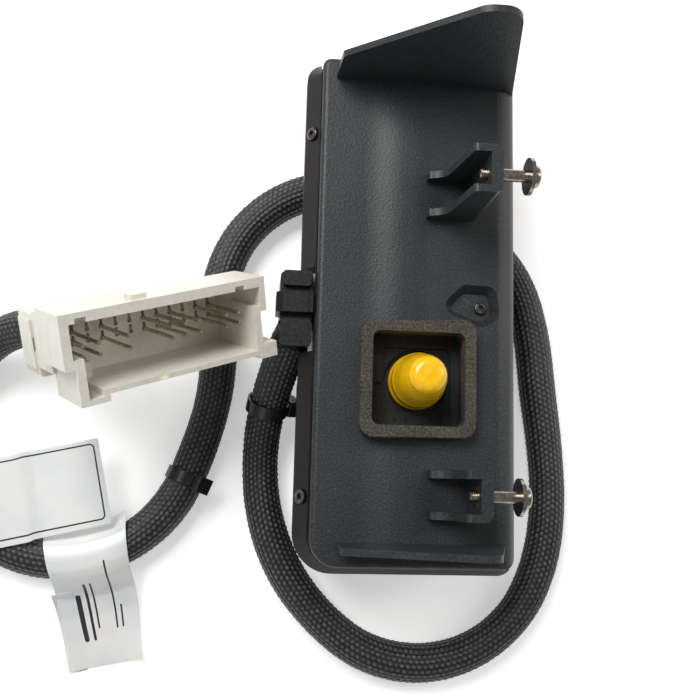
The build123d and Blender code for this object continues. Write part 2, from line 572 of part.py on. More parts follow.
with BuildPart() as board_screws:
    with BuildSketch(Plane.XY.offset(BOARD_Z + BOARD_T)):
        with Locations(*BOARD_SCREWS):
            Circle(2.5)
    extrude(amount=1.6)
    with BuildSketch(Plane.XY.offset(BOARD_Z + BOARD_T)):
        with Locations(*BOARD_SCREWS):
            Circle(1.2)
    extrude(amount=-8.0)
    with BuildSketch(Plane.XY.offset(BOARD_Z + BOARD_T + 1.6)):
        with Locations(*BOARD_SCREWS):
            RegularPolygon(1.2, 6)
    extrude(amount=-0.9, mode=Mode.SUBTRACT)
board_screws.part.label = "board_screws"
export_step(board_screws.part, "parts/board_screws.step")

# side header: a shrouded socket that the harness plug's nose enters
with BuildPart() as board_header:
    with BuildSketch(Plane.XY.offset(BOARD_Z + BOARD_T)):
        with Locations((-23.2, 0)):
            Rectangle(14.4, 15.0)
    extrude(amount=10.6)
    with BuildSketch(Plane.YZ.offset(-31.0)):
        with Locations((0, 27.3)):
            Rectangle(10.6, 6.2)
    extrude(amount=9.0, mode=Mode.SUBTRACT)
board_header.part.label = "board_header"
export_step(board_header.part, "parts/board_header.step")

with BuildPart() as header_pins:
    with BuildSketch(Plane.YZ.offset(-22.0)):
        with Locations((0, 27.3)):
            with GridLocations(2.54, 2.6, 4, 2):
                Rectangle(0.64, 0.64)
    extrude(amount=-5.5)
header_pins.part.label = "header_pins"
export_step(header_pins.part, "parts/header_pins.step")

# ---------------------------------------------------------------- harness plug
EXIT_DIR = unit(ROUTE[0], ROUTE[1])
with BuildPart() as harness_plug:
    with BuildSketch(Plane.XY.offset(23.0)) as plug_plan:
        with Locations((-39.0, 3.35)):
            RectangleRounded(11.2, 17.5, 1.6)
    extrude(amount=16.0)
    # raised shoulder beyond the strap, raised cap over the harness entry
    with BuildSketch(Plane.XY.offset(38.9)):
        with Locations((-39.0, 9.4)):
            RectangleRounded(9.6, 5.2, 1.2)
    extrude(amount=2.6)
    with BuildSketch(Plane.XY.offset(38.2)):
        with Locations((-39.0, -9.4)):
            RectangleRounded(10.8, 9.0, 1.6)
    extrude(amount=3.3)
    with BuildSketch(Plane.XY.offset(38.2)):
        with Locations((-39.0, -6.0)):
            Rectangle(10.0, 4.0)
    extrude(amount=1.6)
    # tapered strain relief along the harness
    with BuildSketch(Plane(ROUTE[0], z_dir=tuple(-v for v in EXIT_DIR))):
        Circle(6.6)
    extrude(amount=5.0, taper=4)
    with BuildSketch(Plane.YZ.offset(-33.4)):
        with Locations((0, 30.0)):
            Rectangle(50.0, 40.0)
    extrude(amount=10.0, mode=Mode.SUBTRACT)
    # nose that enters the board header
    with BuildSketch(Plane.YZ.offset(-34.0)):
        with Locations((0, 27.3)):
            Rectangle(10.2, 5.8)
    extrude(amount=10.6)
    with BuildSketch(Plane.YZ.offset(-23.4)):
        with Locations((0, 27.3)):
            with GridLocations(2.54, 2.6, 4, 2):
                Rectangle(1.0, 1.0)
    extrude(amount=-6.0, mode=Mode.SUBTRACT)
harness_plug.part.label = "harness_plug"
export_step(harness_plug.part, "parts/harness_plug.step")

with BuildPart() as plug_seal:
    with BuildSketch(Plane.YZ.offset(-34.0 + 0.6)):
        with Locations((0, 27.3)):
            RectangleRounded(13.0, 8.6, 1.0)
            Rectangle(10.2, 5.8, mode=Mode.SUBTRACT)
    extrude(amount=0.4)
plug_seal.part.label = "plug_seal"
export_step(plug_seal.part, "parts/plug_seal.step")

# strap that clips the plug to the housing's side
with BuildPart() as plug_strap:
    with BuildSketch(Plane((0, 4.5, 0), x_dir=(1, 0, 0), z_dir=(0, -1, 0))):
        with BuildLine():
            Polyline((-45.9, 30.0), (-44.6, 30.0), (-44.6, 39.0), (-33.5, 39.0), (-33.5, 43.2), (-34.6, 43.2),
                     (-35.4, 42.6), (-43.6, 42.6), (-45.9, 40.6), close=True)
        make_face()
    extrude(amount=7.0)
plug_strap.part.label = "plug_strap"
export_step(plug_strap.part, "parts/plug_strap.step")

# ---------------------------------------------------------------- clamp screws
with BuildPart() as threaded_inserts:
    for by, bz in ((UP_Y, FACE_Z + UP_AXIS), (LO_Y, FACE_Z + LO_AXIS)):
        with BuildSketch(Plane((BR_WEB_X0, by, bz), x_dir=(0, 1, 0), z_dir=(1, 0, 0))):
            Circle(INSERT_R)
            Circle(INSERT_BORE_R, mode=Mode.SUBTRACT)
        extrude(amount=BR_WEB_X1 - BR_WEB_X0)
threaded_inserts.part.label = "threaded_inserts"
export_step(threaded_inserts.part, "parts/threaded_inserts.step")

with BuildPart() as upper_mount_screw:
    with BuildSketch(Plane((0, UP_Y, FACE_Z + UP_AXIS), x_dir=(1, 0, 0), z_dir=(0, -1, 0))):
        with BuildLine():
            Polyline((SCREW_TIP_X, 0), (SCREW_TIP_X, 1.5), (SCREW_TIP_X + 0.5, SCREW_R), (WASHER_X + WASHER_T, SCREW_R),
                     (WASHER_X + WASHER_T, 4.3), (WASHER_X + WASHER_T + 0.9, 4.3), (WASHER_X + WASHER_T + 0.9, 3.8),
                     (SCREW_END_X - 1.1, 3.6), (SCREW_END_X, 2.5), (SCREW_END_X, 0), close=True)
        make_face()
    revolve(axis=Axis((0, UP_Y, FACE_Z + UP_AXIS), (1, 0, 0)))
    with BuildSketch(Plane((SCREW_END_X, UP_Y, FACE_Z + UP_AXIS), x_dir=(0, 1, 0), z_dir=(1, 0, 0))):
        RegularPolygon(1.7, 6)
    extrude(amount=-2.2, mode=Mode.SUBTRACT)
upper_mount_screw.part.label = "upper_mount_screw"
export_step(upper_mount_screw.part, "parts/upper_mount_screw.step")

with BuildPart() as lower_mount_screw:
    with BuildSketch(Plane((0, LO_Y, FACE_Z + LO_AXIS), x_dir=(1, 0, 0), z_dir=(0, -1, 0))):
        with BuildLine():
            Polyline((SCREW_TIP_X, 0), (SCREW_TIP_X, 1.5), (SCREW_TIP_X + 0.5, SCREW_R), (WASHER_X + WASHER_T, SCREW_R),
                     (WASHER_X + WASHER_T, 4.3), (WASHER_X + WASHER_T + 0.9, 4.3), (WASHER_X + WASHER_T + 0.9, 3.8),
                     (SCREW_END_X - 1.1, 3.6), (SCREW_END_X, 2.5), (SCREW_END_X, 0), close=True)
        make_face()
    revolve(axis=Axis((0, LO_Y, FACE_Z + LO_AXIS), (1, 0, 0)))
    with BuildSketch(Plane((SCREW_END_X, LO_Y, FACE_Z + LO_AXIS), x_dir=(0, 1, 0), z_dir=(1, 0, 0))):
        RegularPolygon(1.7, 6)
    extrude(amount=-2.2, mode=Mode.SUBTRACT)
lower_mount_screw.part.label = "lower_mount_screw"
export_step(lower_mount_screw.part, "parts/lower_mount_screw.step")

with BuildPart() as upper_washer:
    with BuildSketch(Plane((WASHER_X, UP_Y, FACE_Z + UP_AXIS), x_dir=(0, 1, 0), z_dir=(1, 0, 0))):
        Circle(WASHER_R)
        Circle(SCREW_R + 0.06, mode=Mode.SUBTRACT)
    extrude(amount=WASHER_T)
upper_washer.part.label = "upper_washer"
export_step(upper_washer.part, "parts/upper_washer.step")

with BuildPart() as lower_washer:
    with BuildSketch(Plane((WASHER_X, LO_Y, FACE_Z + LO_AXIS), x_dir=(0, 1, 0), z_dir=(1, 0, 0))):
        Circle(WASHER_R)
        Circle(SCREW_R + 0.06, mode=Mode.SUBTRACT)
    extrude(amount=WASHER_T)
lower_washer.part.label = "lower_washer"
export_step(lower_washer.part, "parts/lower_washer.step")

# ---------------------------------------------------------------- harness sleeve
radii = []
for i in range(1, len(ROUTE) - 1):
    a, b, c = ROUTE[i - 1], ROUTE[i], ROUTE[i + 1]
    u, v = unit(a, b), unit(b, c)
    turn = math.acos(max(-1.0, min(1.0, sum(u[k] * v[k] for k in range(3)))))
    shorter = min(math.dist(a, b), math.dist(b, c))
    radii.append(0.45 * shorter / math.tan(turn / 2))
print("sleeve radii mm:", [round(r, 1) for r in radii], "smallest", round(min(radii), 1))

with BuildPart() as harness_sleeve:
    with BuildLine() as sleeve_path:
        FilletPolyline(*ROUTE, radius=radii)
    with BuildSketch(Plane(ROUTE[0], z_dir=unit(ROUTE[0], ROUTE[1]))):
        Circle(SLEEVE_R)
    sweep(path=sleeve_path.wires()[0])
harness_sleeve.part.label = "harness_sleeve"
export_step(harness_sleeve.part, "parts/harness_sleeve.step")
sleeve_length = sleeve_path.wires()[0].length
print("sleeve length mm", round(sleeve_length, 1), "volume", round(harness_sleeve.part.volume),
      "section x length", round(math.pi * SLEEVE_R ** 2 * sleeve_length), "valid", harness_sleeve.part.is_valid)

# cable ties: a band pulled into the sleeve, with a square head
sleeve_wire = sleeve_path.wires()[0]
tie_a_u, tie_b_u = 28.0 / sleeve_length, TIE_B_S / sleeve_length
TIE_A = Plane(sleeve_wire @ tie_a_u, z_dir=sleeve_wire % tie_a_u, x_dir=(0.95, 0.0, -0.4))
TIE_B = Plane(sleeve_wire @ tie_b_u, z_dir=sleeve_wire % tie_b_u, x_dir=(0.66, -0.25, 0.7))
with BuildPart() as tie_near_plug:
    with BuildSketch(TIE_A.offset(-2.3)):
        Circle(7.6)
        Circle(6.85, mode=Mode.SUBTRACT)
    extrude(amount=4.6)
    with BuildSketch(TIE_A.offset(-2.9)):
        with Locations((9.0, 0.0)):
            RectangleRounded(3.6, 6.4, 0.8)
    extrude(amount=5.8)
tie_near_plug.part.label = "tie_near_plug"
export_step(tie_near_plug.part, "parts/tie_near_plug.step")

with BuildPart() as tie_near_connector:
    with BuildSketch(TIE_B.offset(-2.2)):
        Circle(7.6)
        Circle(6.85, mode=Mode.SUBTRACT)
    extrude(amount=4.4)
    with BuildSketch(TIE_B.offset(-2.8)):
        with Locations((9.0, 0.0)):
            RectangleRounded(3.6, 6.6, 0.8)
    extrude(amount=5.6)
    # pressed flat where it rests
    with BuildSketch(Plane.XY.offset(0.05)):
        with Locations((TIE_B.origin.X, TIE_B.origin.Y)):
            Rectangle(40.0, 40.0)
    extrude(amount=-6.0, mode=Mode.SUBTRACT)
tie_near_connector.part.label = "tie_near_connector"
export_step(tie_near_connector.part, "parts/tie_near_connector.step")

# film labels: each wraps over the sleeve and hangs off it as a flag
FLAG_B = Plane((-106.0, -86.8, SLEEVE_R), x_dir=(0.2, -0.98, 0), z_dir=(-0.98, -0.2, 0))
with BuildPart() as label_flag_b:
    with BuildSketch(FLAG_B.offset(-13.0)):
        with BuildLine():
            Polyline((-11.8, -4.0), (-11.0, 1.0), (-9.4, 5.0), (-6.0, 8.2), (0, 9.4), (6.0, 8.4), (10.5, 5.0),
                     (15.0, 0.5), (22.0, -3.2), (30.0, -5.2), (38.5, -5.8), (38.5, -6.3), (30.0, -5.7), (22.0, -3.7),
                     (14.8, -0.1), (10.2, 4.5), (5.8, 7.8), (0, 8.8), (-5.7, 7.7), (-8.9, 4.7), (-10.4, 0.9),
                     (-11.2, -4.0), close=True)
        make_face()
    extrude(amount=28.0)
label_flag_b.part.label = "label_flag_b"
export_step(label_flag_b.part, "parts/label_flag_b.step")

FLAG_A = Plane((-150.0, -71.0, SLEEVE_R), x_dir=(0.975, 0.221, 0), z_dir=(0.221, -0.975, 0))
with BuildPart() as label_flag_a:
    with BuildSketch(FLAG_A.offset(-15.3)):
        with BuildLine():
            Polyline((-12.0, 9.4), (16.0, 9.4), (24.0, 8.6), (34.0, 7.4), (49.0, 6.6), (49.0, 6.0), (34.0, 6.8),
                     (24.0, 8.0), (16.0, 8.8), (-12.0, 8.8), close=True)
        make_face()
    extrude(amount=30.6)
label_flag_a.part.label = "label_flag_a"
export_step(label_flag_a.part, "parts/label_flag_a.step")

# ---------------------------------------------------------------- far-end connector
CX0, CX1 = -CONN_W / 2, CONN_W / 2
CY0, CY1 = -CONN_H / 2, CONN_H / 2
with BuildPart() as connector_shell:
    # front section round the mouth, with a keyed outline
    with BuildSketch(CONN):
        with BuildLine():
            Polyline((CX0, CY1), (CX1, CY1), (CX1, 2.8), (CX1 - 2.4, 2.8), (CX1 - 2.4, -8.2), (CX1 + 2.8, -8.2),
                     (CX1 + 2.8, -13.2), (CX1 - 4.0, -13.2), (CX1 - 4.0, -11.8), (CX0 + 12.4, -11.8),
                     (CX0 + 12.4, CY0), (CX0 + 3.3, CY0), (CX0 + 3.3, -2.5), (CX0, -2.5), close=True)
        make_face()
    extrude(amount=-18.0)
    # narrower body behind it
    with BuildSketch(CONN.offset(-17.0)):
        with BuildLine():
            Polyline((CX0 + 2.4, 11.2), (CX1 - 2.4, 11.2), (CX1 - 2.4, -11.8), (-22.0, -11.8), (-22.0, -7.0),
                     (CX0 + 2.4, -7.0), close=True)
        make_face()
    extrude(amount=-(CONN_D - 17.0))
    # mouth
    with BuildSketch(CONN.offset(0.5)):
        with BuildLine():
            Polyline((CX0 + 2.8, 10.9), (CX1 - 2.2, 10.9), (CX1 - 2.2, 4.6), (CX1 - 4.6, 4.6), (CX1 - 4.6, -10.2),
                     (CX0 + 10.6, -10.2), (CX0 + 10.6, -12.4), (CX0 + 6.0, -12.4), (CX0 + 6.0, 0.2),
                     (CX0 + 2.8, 0.2), close=True)
        make_face()
    extrude(amount=-17.0, mode=Mode.SUBTRACT)
    with BuildSketch(CONN.offset(-16.0)):
        with BuildLine():
            Polyline((-28.6, 9.0), (30.0, 9.0), (30.0, -10.2), (-20.6, -10.2), (-20.6, -5.4), (-28.6, -5.4), close=True)
        make_face()
    extrude(amount=-(CONN_CAV_D - 16.0), mode=Mode.SUBTRACT)
    # latch bump on top, key notches in the top wall and in the lower lip
    with BuildSketch(CONN.offset(-7.0)):
        with Locations((CX0 + 26.0, CY1 + 0.5)):
            Rectangle(5.0, 2.0)
    extrude(amount=5.0)
    with BuildSketch(CONN.offset(0.5)):
        with Locations((CX0 + 6.5, 11.6), (CX1 - 9.5, 11.6)):
            Rectangle(3.4, 1.6)
        with Locations((CX0 + 30.0, -10.9)):
            Rectangle(3.4, 1.6)
    extrude(amount=-3.5, mode=Mode.SUBTRACT)
    # keyhole mouths of the terminal cavities in the floor
    with BuildSketch(CONN.offset(-CONN_CAV_D)):
        for row in PIN_ROWS:
            with Locations((0, row)):
                with GridLocations(PIN_PITCH, 0, PIN_COLS, 1):
                    Circle(0.8)
                    with Locations((0, 1.3)):
                        Rectangle(1.0, 2.2)
    extrude(amount=-2.0, mode=Mode.SUBTRACT)
connector_shell.part.label = "connector_shell"
export_step(connector_shell.part, "parts/connector_shell.step")

with BuildPart() as connector_pins:
    with BuildSketch(CONN.offset(-CONN_CAV_D - 2.0)):
        for row in PIN_ROWS:
            with Locations(*[((c - (PIN_COLS - 1) / 2) * PIN_PITCH, row) for c in PIN_USED]):
                Circle(PIN_R)
    extrude(amount=PIN_L)
connector_pins.part.label = "connector_pins"
export_step(connector_pins.part, "parts/connector_pins.step")

END_DIR = unit(ROUTE[-2], ROUTE[-1])
with BuildPart() as connector_retainer:
    with BuildSketch(CONN.offset(-CONN_D)):
        with Locations((CX0 + 21.5, 0.2)):
            RectangleRounded(38.0, 21.0, 1.2)
    extrude(amount=-12.5)
    # ribs along the block
    with BuildSketch(CONN.offset(-CONN_D - 1.5)):
        with Locations((CX0 + 21.5, 0.2)):
            Rectangle(39.4, 15.6)
            Rectangle(38.8, 4.6, mode=Mode.SUBTRACT)
    extrude(amount=-10.0)
    # strain relief that takes the harness
    with BuildSketch(Plane(ROUTE[-1], z_dir=END_DIR)):
        Circle(SLEEVE_R + 0.8)
    extrude(amount=9.0, taper=6)
connector_retainer.part.label = "connector_retainer"
export_step(connector_retainer.part, "parts/connector_retainer.step")
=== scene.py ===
import math
import random
import bpy
import bmesh
import numpy as np
from mathutils import Vector, Matrix


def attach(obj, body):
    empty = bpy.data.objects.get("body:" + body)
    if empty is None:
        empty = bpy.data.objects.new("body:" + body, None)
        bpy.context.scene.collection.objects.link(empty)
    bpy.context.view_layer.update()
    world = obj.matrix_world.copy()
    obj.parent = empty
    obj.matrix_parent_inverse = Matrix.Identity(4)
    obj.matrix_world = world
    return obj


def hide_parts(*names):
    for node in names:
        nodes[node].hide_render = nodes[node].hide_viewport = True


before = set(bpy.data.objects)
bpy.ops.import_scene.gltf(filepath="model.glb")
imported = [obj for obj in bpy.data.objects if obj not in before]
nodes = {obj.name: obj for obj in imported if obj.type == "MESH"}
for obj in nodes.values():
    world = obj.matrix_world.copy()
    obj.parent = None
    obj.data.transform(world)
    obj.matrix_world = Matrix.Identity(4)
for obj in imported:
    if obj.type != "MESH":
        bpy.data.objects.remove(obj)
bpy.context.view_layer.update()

rng = random.Random(7)
scene = bpy.context.scene
scene.view_settings.view_transform = "Standard"
scene.view_settings.look = "None"

# ------------------------------------------------------------------ camera
cam_data = bpy.data.cameras.new("camera")
cam_data.lens = 44.74
cam_data.sensor_width = 36.0
cam_data.clip_start = 0.01
cam = bpy.data.objects.new("camera", cam_data)
scene.collection.objects.link(cam)
cam.matrix_world = Matrix((
    (0.99328, -0.04126, -0.10815, -0.05224),
    (0.02505, 0.98879, -0.14722, -0.05784),
    (0.11301, 0.14352, 0.98317, 0.33000),
    (0, 0, 0, 1)))
scene.camera = cam


# ------------------------------------------------------------------ helpers
def V(x, y, z):
    return Vector((x / 1000, y / 1000, z / 1000))


def mesh_object(name, verts, faces, smooth=True):
    me = bpy.data.meshes.new(name)
    me.from_pydata([tuple(v) for v in verts], [], faces)
    me.update()
    if smooth:
        for p in me.polygons:
            p.use_smooth = True
    ob = bpy.data.objects.new(name, me)
    scene.collection.objects.link(ob)
    return ob


def new_mat(name):
    m = bpy.data.materials.new(name)
    m.use_nodes = True
    nt = m.node_tree
    b = nt.nodes["Principled BSDF"]
    return m, nt, b


def ramp(nt, fac, stops):
    r = nt.nodes.new("ShaderNodeValToRGB")
    el = r.color_ramp.elements
    while len(el) < len(stops):
        el.new(0.5)
    for e, (p, c) in zip(el, stops):
        e.position = p
        e.color = (c[0], c[1], c[2], 1)
    nt.links.new(fac, r.inputs["Fac"])
    return r.outputs["Color"]


def noise(nt, scale, detail=2.0, rough=0.5, coord="Object"):
    tc = nt.nodes.new("ShaderNodeTexCoord")
    n = nt.nodes.new("ShaderNodeTexNoise")
    n.inputs["Scale"].default_value = scale
    n.inputs["Detail"].default_value = detail
    n.inputs["Roughness"].default_value = rough
    nt.links.new(tc.outputs[coord], n.inputs["Vector"])
    return n.outputs["Fac"]


def voronoi(nt, scale, feature="F1", coord="Object"):
    tc = nt.nodes.new("ShaderNodeTexCoord")
    n = nt.nodes.new("ShaderNodeTexVoronoi")
    n.feature = feature
    n.inputs["Scale"].default_value = scale
    nt.links.new(tc.outputs[coord], n.inputs["Vector"])
    return n.outputs["Distance"]


def bump(nt, height, strength, dist, normal=None):
    b = nt.nodes.new("ShaderNodeBump")
    b.inputs["Strength"].default_value = strength
    b.inputs["Distance"].default_value = dist
    nt.links.new(height, b.inputs["Height"])
    if normal is not None:
        nt.links.new(normal, b.inputs["Normal"])
    return b.outputs["Normal"]


def mix(nt, fac, a, b, mode="MIX"):
    m = nt.nodes.new("ShaderNodeMix")
    m.data_type = "RGBA"
    m.blend_type = mode
    if isinstance(fac, float):
        m.inputs["Factor"].default_value = fac
    else:
        nt.links.new(fac, m.inputs["Factor"])
    for k, v in (("A", a), ("B", b)):
        sock = [s for s in m.inputs if s.name == k and s.type == "RGBA"][0]
        if isinstance(v, tuple):
            sock.default_value = (v[0], v[1], v[2], 1)
        else:
            nt.links.new(v, sock)
    return [s for s in m.outputs if s.type == "RGBA"][0]


def rough_range(nt, fac, lo, hi):
    m = nt.nodes.new("ShaderNodeMapRange")
    m.inputs["To Min"].default_value = lo
    m.inputs["To Max"].default_value = hi
    nt.links.new(fac, m.inputs["Value"])
    return m.outputs["Result"]


def plastic(name, dark, light, grain, grain_bump, rough=(0.4, 0.55), speck=None, cloud=None, spec=0.5, coat=0.0):
    """Moulded plastic: fine spark-eroded grain, light specks, slow cloudy variation."""
    m, nt, b = new_mat(name)
    f = noise(nt, grain, 3.0, 0.6)
    col = ramp(nt, f, [(0.35, dark), (0.68, light)])
    if speck:
        v = noise(nt, speck[0], 1.0, 0.5)
        mask = ramp(nt, v, [(speck[1], (0, 0, 0)), (speck[1] + 0.04, (1, 1, 1))])
        col = mix(nt, mask, col, speck[2])
    if cloud:
        c = noise(nt, cloud[0], 3.0, 0.55)
        cc = ramp(nt, c, [(0.3, cloud[1]), (0.7, (1.0, 1.0, 1.0))])
        col = mix(nt, 1.0, col, cc, "MULTIPLY")
    nt.links.new(col, b.inputs["Base Color"])
    g = voronoi(nt, grain * 0.8)
    nrm = bump(nt, g, grain_bump, 0.00012)
    nrm = bump(nt, noise(nt, 60.0, 2.0), 0.05, 0.0008, nrm)
    nt.links.new(nrm, b.inputs["Normal"])
    nt.links.new(rough_range(nt, f, rough[0], rough[1]), b.inputs["Roughness"])
    b.inputs["Specular IOR Level"].default_value = spec
    b.inputs["Coat Weight"].default_value = coat
    return m


def metal(name, dark, light, rough=(0.22, 0.4), stretch=(1, 1, 1), metallic=1.0, bump_s=0.15):
    m, nt, b = new_mat(name)
    tc = nt.nodes.new("ShaderNodeTexCoord")
    mp = nt.nodes.new("ShaderNodeMapping")
    mp.inputs["Scale"].default_value = stretch
    nt.links.new(tc.outputs["Object"], mp.inputs["Vector"])
    n = nt.nodes.new("ShaderNodeTexNoise")
    n.inputs["Scale"].default_value = 900.0
    n.inputs["Detail"].default_value = 4.0
    nt.links.new(mp.outputs["Vector"], n.inputs["Vector"])
    f = n.outputs["Fac"]
    nt.links.new(ramp(nt, f, [(0.3, dark), (0.7, light)]), b.inputs["Base Color"])
    nt.links.new(rough_range(nt, f, rough[0], rough[1]), b.inputs["Roughness"])
    nt.links.new(bump(nt, f, bump_s, 0.00006), b.inputs["Normal"])
    b.inputs["Metallic"].default_value = metallic
    return m


def bevel(ob, width_mm, segments=3, angle=40):
    m = ob.modifiers.new("edge", "BEVEL")
    m.width = width_mm / 1000
    m.segments = segments
    m.limit_method = "ANGLE"
    m.angle_limit = math.radians(angle)
    m.harden_normals = False
    m.use_clamp_overlap = True
    return m


def paint(node, material):
    ob = nodes[node]
    ob.data.materials.clear()
    ob.data.materials.append(material)
    return ob


# ------------------------------------------------------------------ materials
M_HOUSING = plastic("housing_plastic", (0.016, 0.019, 0.0215), (0.043, 0.049, 0.053), 1500.0, 0.40, (0.36, 0.50),
                    speck=(1500.0, 0.72, (0.085, 0.09, 0.095)), cloud=(28.0, (0.74, 0.77, 0.80)), spec=0.42)


def add_valley(material, x0, width, depth, y0, y1):
    """Very shallow lengthwise valley pressed into the face: fades in and out along Y."""
    nt = material.node_tree
    b = nt.nodes["Principled BSDF"]
    old = b.inputs["Normal"].links[0].from_socket
    tc = nt.nodes.new("ShaderNodeTexCoord")
    sep = nt.nodes.new("ShaderNodeSeparateXYZ")
    nt.links.new(tc.outputs["Object"], sep.inputs["Vector"])
    mx = nt.nodes.new("ShaderNodeMapRange")
    mx.interpolation_type = "SMOOTHERSTEP"
    off = nt.nodes.new("ShaderNodeMath")
    off.operation = "SUBTRACT"
    nt.links.new(sep.outputs[0], off.inputs[0])
    off.inputs[1].default_value = x0
    ab = nt.nodes.new("ShaderNodeMath")
    ab.operation = "ABSOLUTE"
    nt.links.new(off.outputs[0], ab.inputs[0])
    nt.links.new(ab.outputs[0], mx.inputs["Value"])
    mx.inputs["From Min"].default_value = 0.0
    mx.inputs["From Max"].default_value = width
    mx.inputs["To Min"].default_value = 0.0
    mx.inputs["To Max"].default_value = 1.0
    my = nt.nodes.new("ShaderNodeMapRange")
    my.interpolation_type = "SMOOTHERSTEP"
    nt.links.new(sep.outputs[1], my.inputs["Value"])
    my.inputs["From Min"].default_value = y0
    my.inputs["From Max"].default_value = y1
    my.inputs["To Min"].default_value = 1.0
    my.inputs["To Max"].default_value = 0.25
    inv = nt.nodes.new("ShaderNodeMath")
    inv.operation = "SUBTRACT"
    inv.inputs[0].default_value = 1.0
    nt.links.new(mx.outputs["Result"], inv.inputs[1])
    mul = nt.nodes.new("ShaderNodeMath")
    mul.operation = "MULTIPLY"
    nt.links.new(inv.outputs[0], mul.inputs[0])
    nt.links.new(my.outputs["Result"], mul.inputs[1])
    bp = nt.nodes.new("ShaderNodeBump")
    bp.inputs["Strength"].default_value = 1.0
    bp.inputs["Distance"].default_value = depth
    nt.links.new(mul.outputs[0], bp.inputs["Height"])
    nt.links.new(old, bp.inputs["Normal"])
    nt.links.new(bp.outputs["Normal"], b.inputs["Normal"])


add_valley(M_HOUSING, -0.0015, 0.017, 0.0016, 0.05, 0.085)
M_COVER = plastic("cover_plastic", (0.006, 0.0048, 0.0046), (0.014, 0.011, 0.0105), 900.0, 0.12, (0.30, 0.42),
                  cloud=(40.0, (0.7, 0.62, 0.6)), spec=0.3)
M_SHROUD = plastic("shroud_plastic", (0.012, 0.012, 0.012), (0.026, 0.026, 0.0255), 1600.0, 0.25, (0.42, 0.55), spec=0.25)
M_PLUG = plastic("plug_plastic", (0.010, 0.010, 0.011), (0.024, 0.024, 0.026), 1100.0, 0.12, (0.28, 0.42), spec=0.28)
M_NYLON = plastic("nylon_plastic", (0.009, 0.009, 0.010), (0.020, 0.020, 0.021), 1200.0, 0.10, (0.18, 0.30))
M_CAP = plastic("cap_plastic", (0.96, 0.52, 0.004), (1.0, 0.62, 0.010), 300.0, 0.03, (0.20, 0.30), coat=0.25)
M_IVORY = plastic("connector_plastic", (0.74, 0.72, 0.65), (0.81, 0.795, 0.73), 350.0, 0.05, (0.30, 0.42),
                  cloud=(45.0, (0.93, 0.91, 0.87)))
M_STEEL = metal("screw_steel_metal", (0.24, 0.215, 0.19), (0.48, 0.44, 0.39), (0.18, 0.34))
M_TORX = metal("torx_steel_metal", (0.05, 0.045, 0.045), (0.20, 0.19, 0.185), (0.25, 0.42))
M_BRASS = metal("insert_metal", (0.48, 0.34, 0.14), (0.72, 0.55, 0.28), (0.22, 0.4))
M_PIN = metal("pin_metal", (0.42, 0.36, 0.27), (0.72, 0.66, 0.54), (0.16, 0.3))
M_ALU = metal("aluminium_metal", (0.50, 0.51, 0.53), (0.70, 0.71, 0.73), (0.3, 0.45), (1, 12, 1))
M_BARREL = metal("barrel_metal", (0.02, 0.02, 0.022), (0.05, 0.05, 0.055), (0.28, 0.4), metallic=0.6)
M_BOARD = plastic("board_laminate", (0.008, 0.05, 0.018), (0.02, 0.11, 0.04), 420.0, 0.12, (0.3, 0.45))
M_CHIP = plastic("chip_epoxy", (0.010, 0.010, 0.011), (0.022, 0.022, 0.023), 1400.0, 0.2, (0.4, 0.55))
M_SILICONE = plastic("silicone_rubber", (0.20, 0.23, 0.26), (0.27, 0.30, 0.33), 500.0, 0.1, (0.5, 0.65))

m, nt, b = new_mat("lens_glass")
b.inputs["Base Color"].default_value = (0.35, 0.4, 0.5, 1)
b.inputs["Roughness"].default_value = 0.03
b.inputs["Transmission Weight"].default_value = 0.9
b.inputs["IOR"].default_value = 1.6
nt.links.new(bump(nt, noise(nt, 20.0), 0.01, 0.0001), b.inputs["Normal"])
M_GLASS = m

# foam: taupe, open-celled, matt with fine dark pores and light grains
m, nt, b = new_mat("foam_rubber")
f1 = noise(nt, 1300.0, 3.0, 0.7)
c1 = ramp(nt, f1, [(0.30, (0.028, 0.026, 0.022)), (0.52, (0.082, 0.077, 0.066)), (0.75, (0.170, 0.160, 0.140))])
f2 = noise(nt, 90.0, 3.0, 0.6)
c1 = mix(nt, 1.0, c1, ramp(nt, f2, [(0.3, (0.78, 0.76, 0.74)), (0.7, (1.05, 1.02, 0.98))]), "MULTIPLY")
nt.links.new(c1, b.inputs["Base Color"])
b.inputs["Roughness"].default_value = 0.92
b.inputs["Specular IOR Level"].default_value = 0.15
n1 = bump(nt, f1, 0.9, 0.0002)
nt.links.new(bump(nt, voronoi(nt, 900.0), 0.6, 0.0002, n1), b.inputs["Normal"])
M_FOAM = m

